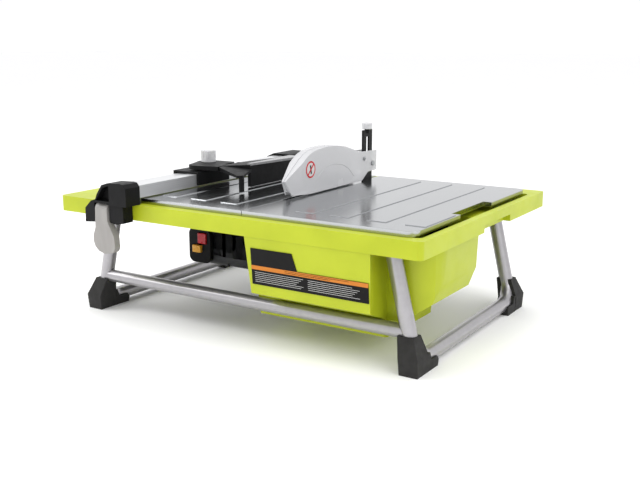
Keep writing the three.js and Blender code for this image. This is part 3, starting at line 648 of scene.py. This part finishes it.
class SAW_OT_motor(bpy.types.Operator):
    """Builds the motor, its cover, the switch and the cord inlet"""

    bl_idname = "saw.motor"
    bl_label = "Motor"

    def execute(self, context):
        sizes = context.scene.saw_sizes
        finished_copy("motor_housing", "charcoal", sizes.small_edge)
        finished_copy("switch_surround", "black", sizes.casting_edge)
        finished_copy("switch_button", "red", sizes.casting_edge)
        finished_copy("safety_key", "yellow", sizes.casting_edge)
        finished_copy("power_gland", "rubber", sizes.small_edge)
        for node in ("stator", "motor_bell_rear", "motor_bell_front", "bearing_rear", "bearing_front"):
            repaint(node, "steel")
        repaint("rotor", "copper")
        repaint("cooling_fan", "black")
        repaint("shaft_seal", "rubber")
        return {"FINISHED"}


class SAW_OT_blade(bpy.types.Operator):
    """Builds the blade, its flanges, nut and shaft"""

    bl_idname = "saw.blade"
    bl_label = "Blade"

    def execute(self, context):
        sizes = context.scene.saw_sizes
        repaint("arbor_shaft", "steel")
        repaint("diamond_blade", "steel")
        for node in ("flange_inner", "flange_outer", "arbor_nut"):
            finished_copy(node, "steel", sizes.small_edge)
        return {"FINISHED"}


# The guard rib's path on its cheek: front to back and height, in mm.
RIB_POINTS = ((-31, 231), (-9.5, 244.5), (28, 247), (60, 238), (84, 220))
RIB_RADIUS = 0.7 * MM
RIB_SUNK = 0.2 * MM
SIGN_PLACE = (-0.052, 0.247)
SIGN_EDGE = 0.04  # mm
# Each disc of the sign: its name, radius and depth in mm, and finish.
SIGN_DISCS = (
    ("guard_sign_ring", 13.5, 0.15, "film_red"),
    ("guard_sign_face", 10.8, 0.3, "film_white"),
)
# Each bar of the sign: its name, turn in degrees, depth, length and width in mm, and finish.
SIGN_BARS = (
    ("guard_sign_bar", 45, 0.3, 21.6, 2.6, "film_red"),
    ("guard_sign_mark", 100, 0.14, 14.0, 3.4, "film_black"),
)
SIGN_BAR_OUT = 0.34 * MM
ARM_SCREW = (0.118, 0.246)
ARM_SCREW_RADIUS = 3.2  # mm


class SAW_OT_guard(bpy.types.Operator):
    """Builds the clear guard, its post, bolt and knob"""

    bl_idname = "saw.guard"
    bl_label = "Blade guard"

    def execute(self, context):
        sizes = context.scene.saw_sizes
        for node in ("guard_left", "guard_right"):
            finished_copy(node, "clear", sizes.small_edge)
        finished_copy("guard_post", "black", sizes.small_edge)
        finished_copy("post_knob", "clear", sizes.casting_edge)
        finished_copy("guard_bolt", "steel", sizes.small_edge)
        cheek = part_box("guard_right")[1].x
        self.sign(cheek)
        self.relief_arc(cheek)
        screw_head("guard_arm_screw", (cheek, *ARM_SCREW), ARM_SCREW_RADIUS, RIGHT, "guard")
        return {"FINISHED"}

    def sign(self, cheek):
        """A plain round sign on the right cheek: a pale disc in a red ring, with two bars."""
        centre = Vector((cheek, *SIGN_PLACE))
        for name, radius, depth, material in SIGN_DISCS:
            spot = centre + Vector((depth / 2, 0, 0)) * MM
            piece = disc(spot, radius * MM, depth * MM, RIGHT, 64)
            round_edges(piece, SIGN_EDGE, 1)
            settle(piece, name, "guard", material)
        for name, turn, depth, length, width, material in SIGN_BARS:
            clear_selection()
            bpy.ops.mesh.primitive_cube_add(
                size=1,
                location=centre + Vector((SIGN_BAR_OUT, 0, 0)),
                rotation=(math.radians(turn), 0, 0),
            )
            piece = bpy.context.object
            piece.scale = Vector((depth, length, width)) * MM
            place_in_mesh(piece)
            round_edges(piece, SIGN_EDGE, 1)
            settle(piece, name, "guard", material)

    def relief_arc(self, cheek):
        """The raised rib that arches over the blade on the right cheek."""
        clear_selection()
        bpy.ops.curve.primitive_bezier_curve_add()
        rib = bpy.context.object
        points = rib.data.splines[0].bezier_points
        points.add(len(RIB_POINTS) - 2)
        for point, (y, z) in zip(points, RIB_POINTS):
            point.co = (cheek - RIB_SUNK, y * MM, z * MM)
            point.handle_left_type = point.handle_right_type = "AUTO"
        rib.data.dimensions = "3D"
        rib.location = (0, 0, 0)
        rib.data.bevel_depth = RIB_RADIUS
        rib.data.bevel_resolution = 3
        rib.data.use_fill_caps = True
        make_active(rib)
        bpy.ops.object.convert(target="MESH")
        rib = bpy.context.object
        smooth_faces(rib)
        settle(rib, "guard_rib", "guard", "clear")


class SAW_OT_fence(bpy.types.Operator):
    """Builds the rip fence with its clamp head, lever and hook"""

    bl_idname = "saw.fence"
    bl_label = "Rip fence"

    def execute(self, context):
        sizes = context.scene.saw_sizes
        finished_copy("fence_bar", "aluminium", sizes.small_edge)
        finished_copy("fence_head", "black", sizes.casting_edge)
        finished_copy("fence_hook", "black", sizes.casting_edge)
        finished_copy("fence_lever", "grey", sizes.casting_edge)
        finished_copy("lever_pin", "steel", sizes.small_edge)
        return {"FINISHED"}


class SAW_OT_guide(bpy.types.Operator):
    """Builds the swivelling angle guide with its saddle and knob"""

    bl_idname = "saw.guide"
    bl_label = "Angle guide"

    def execute(self, context):
        sizes = context.scene.saw_sizes
        finished_copy("guide_saddle", "black", sizes.small_edge)
        guide = finished_copy("angle_guide", "black", sizes.casting_edge)
        # The guide's top 5 mm is painted a lighter grey: a painted highlight where light falls on the black
        # guide's top.
        guide.data.materials.append(finish("painted_highlight_grey"))
        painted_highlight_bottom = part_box("angle_guide")[1].z - 5 * MM
        painted_highlight_left = -88 * MM
        make_active(guide)
        bpy.ops.object.mode_set(mode="EDIT")
        select_faces(guide, lambda spot, normal: spot.z > painted_highlight_bottom and spot.x > painted_highlight_left)
        guide.active_material_index = 1
        bpy.ops.object.material_slot_assign()
        bpy.ops.object.mode_set(mode="OBJECT")
        finished_copy("guide_knob", "clear", sizes.small_edge)
        return {"FINISHED"}


class SAW_OT_stage(bpy.types.Operator):
    """Sets the floor, the lights and the camera"""

    bl_idname = "saw.stage"
    bl_label = "Stage"

    def execute(self, context):
        stage = context.scene.saw_stage
        clear_selection()
        bpy.ops.mesh.primitive_plane_add(size=context.scene.saw_sizes.floor_width)
        floor = bpy.context.object
        floor.name = "studio_floor"
        floor.data.materials.append(finish("sweep"))

        world = bpy.data.worlds.new("Soft studio light")
        world.use_nodes = True
        backdrop = world.node_tree.nodes["Background"]
        backdrop.inputs["Color"].default_value = hex_color("#fdfdfe")
        backdrop.inputs["Strength"].default_value = stage.sky
        context.scene.world = world

        # Each light's name, place, size and power in watts; all of them face the saw.
        aim = Vector((0, 0, 0.15))
        lights = (
            ("overhead softbox", (0.1, -0.1, 2.2), 2.2, 24.0),
            ("left softbox", (-1.9, -1.2, 1.5), 1.4, 22.0),
            ("right softbox", (2.0, -0.9, 1.2), 1.2, 9.0),
        )
        for name, place, size, power in lights:
            clear_selection()
            bpy.ops.object.light_add(type="AREA", location=place)
            lamp = bpy.context.object
            lamp.name = name
            lamp.data.size = size
            lamp.data.energy = power
            lamp.rotation_euler = (aim - Vector(place)).to_track_quat("-Z", "Y").to_euler()

        clear_selection()
        bpy.ops.object.camera_add(location=stage.camera_place, rotation=stage.camera_turn)
        camera = bpy.context.object
        camera.name = "studio_camera"
        camera.data.lens = stage.lens
        camera.data.sensor_width = 36.0
        context.scene.camera = camera
        context.scene.view_settings.view_transform = "Standard"
        return {"FINISHED"}


class SAW_PT_panel(bpy.types.Panel):
    """Lists the saw's pieces and sizes"""

    bl_label = "Wet Tile Saw"
    bl_idname = "SAW_PT_panel"
    bl_space_type = "VIEW_3D"
    bl_region_type = "UI"
    bl_category = "Tile Saw"

    def draw(self, context):
        for group in (context.scene.saw_sizes, context.scene.saw_stage):
            for name in group.bl_rna.properties.keys():
                if name not in {"rna_type", "name"}:
                    self.layout.prop(group, name)
        for operator in OPERATORS:
            self.layout.operator(operator.bl_idname)


OPERATORS = (
    SAW_OT_stage,
    SAW_OT_tray,
    SAW_OT_label,
    SAW_OT_table,
    SAW_OT_tube_frame,
    SAW_OT_motor,
    SAW_OT_blade,
    SAW_OT_guard,
    SAW_OT_fence,
    SAW_OT_guide,
)
CLASSES = (SawSizes, SawStage, *OPERATORS, SAW_PT_panel)


def register():
    """Registers the add-on's classes and its groups of sizes."""
    for each in CLASSES:
        bpy.utils.register_class(each)
    bpy.types.Scene.saw_sizes = PointerProperty(type=SawSizes)
    bpy.types.Scene.saw_stage = PointerProperty(type=SawStage)


def unregister():
    """Removes what register added."""
    del bpy.types.Scene.saw_stage
    del bpy.types.Scene.saw_sizes
    for each in reversed(CLASSES):
        bpy.utils.unregister_class(each)


def main():
    """Builds every piece in order."""
    register()
    for operator in OPERATORS:
        group, name = operator.bl_idname.split(".")
        if getattr(getattr(bpy.ops, group), name)() != {"FINISHED"}:
            raise RuntimeError(f"{operator.bl_label} did not finish")


if __name__ == "__main__":
    main()
